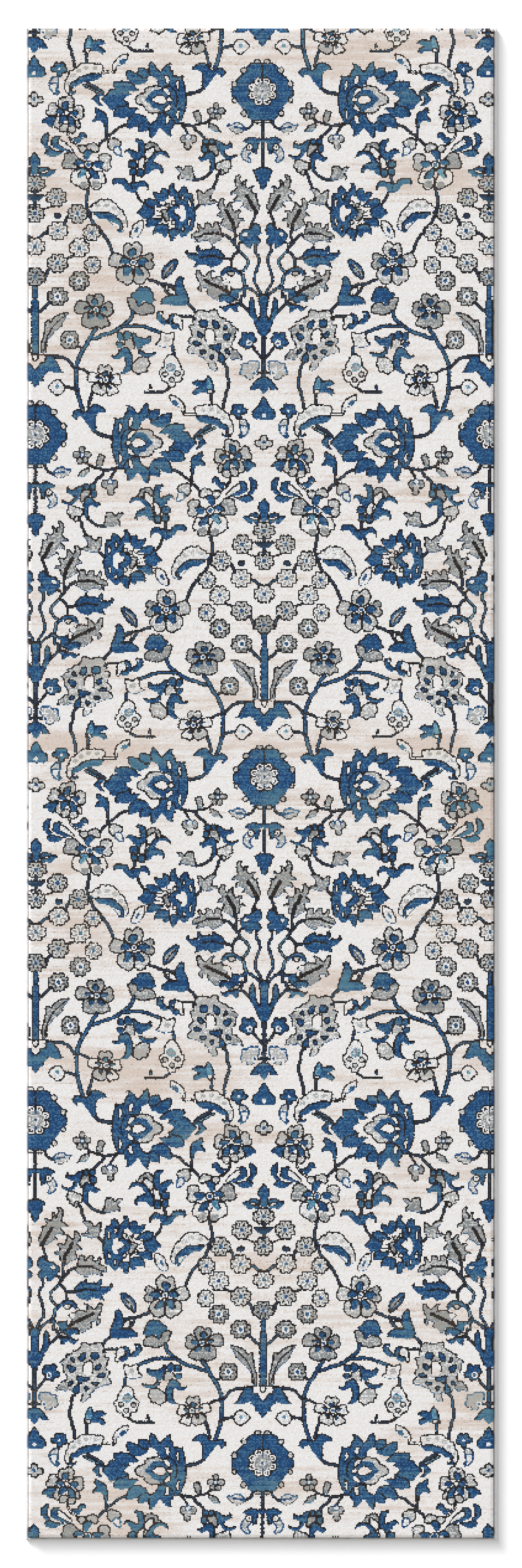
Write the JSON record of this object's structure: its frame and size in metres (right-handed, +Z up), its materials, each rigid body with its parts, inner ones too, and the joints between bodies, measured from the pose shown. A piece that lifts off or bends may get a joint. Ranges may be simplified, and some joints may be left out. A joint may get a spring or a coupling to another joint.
{
  "type": "runner rug",
  "caption": "Long flat machine-woven runner with cut pile, overcast long edges and bound ends, printed-look scrolling floral pattern",
  "frame": {"origin": "centre of the underside, on the floor", "axes": "+Y along the rug's length towards its head end, +X across its width, +Z up through the pile"},
  "size_m": [0.762, 2.438, 0.011],
  "materials": {
    "pile": "cut synthetic pile, patterned in blues, greys, off-white and beige",
    "ground": "jute and cotton ground weave",
    "coat": "thin matt latex back coat",
    "cord": "twisted cord",
    "overcast": "white overcasting yarn",
    "binding": "white woven tape",
    "thread": "white sewing thread"
  },
  "bodies": {
    "root": {"pile_field": "pile", "ground_weave": "ground", "back_coat": "coat", "edge_cord_left": "cord", "edge_cord_right": "cord", "overcast_left": "overcast", "overcast_right": "overcast", "end_binding_head": "binding", "end_binding_foot": "binding", "binding_thread_head": "thread", "binding_thread_foot": "thread"}
  },
  "joints": []
}
